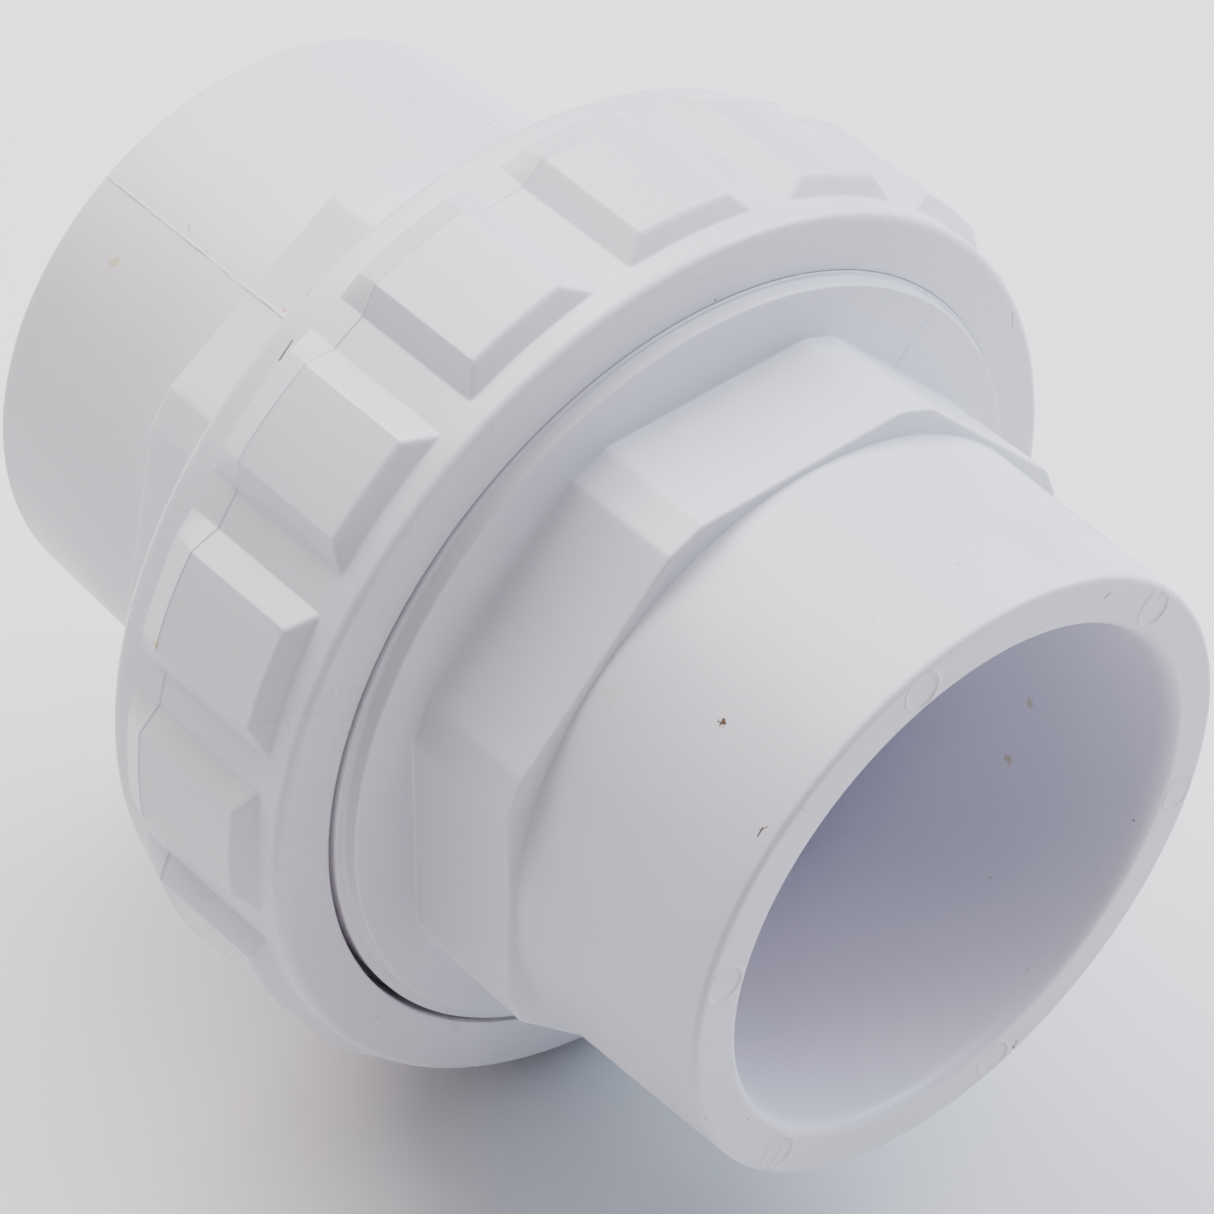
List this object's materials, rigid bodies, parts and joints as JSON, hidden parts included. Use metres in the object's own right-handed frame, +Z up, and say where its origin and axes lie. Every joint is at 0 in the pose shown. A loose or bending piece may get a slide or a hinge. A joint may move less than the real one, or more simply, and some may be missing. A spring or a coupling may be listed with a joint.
{
  "type": "pipe union fitting",
  "caption": "Slip-socket pipe union: a lugged nut draws a flanged tailpiece onto a threaded one over an O-ring seal.",
  "frame": {"origin": "on the fitting's axis, half way between the two socket mouths, with the nut run home", "axes": "+X along the axis out of the flanged tailpiece's mouth, +Z up with the fitting lying on its side"},
  "size_m": [0.0934, 0.09, 0.09],
  "materials": {
    "pvc_rear": "moulded satin white",
    "epdm_ring": "matte black",
    "pvc_front": "moulded satin white",
    "pvc_nut": "moulded semi-gloss white"
  },
  "bodies": {
    "rear_half": {"rear_tailpiece": "pvc_rear", "o_ring": "epdm_ring"},
    "front_half": {"front_tailpiece": "pvc_front"},
    "nut": {"union_nut": "pvc_nut"}
  },
  "joints": [
    {"name": "tailpiece_draw", "type": "slide", "parent": "rear_half", "child": "front_half", "axis": [1, 0, 0], "range_m": [0, 0.0106]},
    {"name": "nut_turn", "type": "hinge", "parent": "front_half", "child": "nut", "pos_m": [0, 0, 0], "axis": [1, 0, 0], "range_deg": [0, 1080]}
  ],
  "couplings": [
    {"joint": "tailpiece_draw", "follows": "nut_turn", "m_per_rad": 0.00055704}
  ]
}
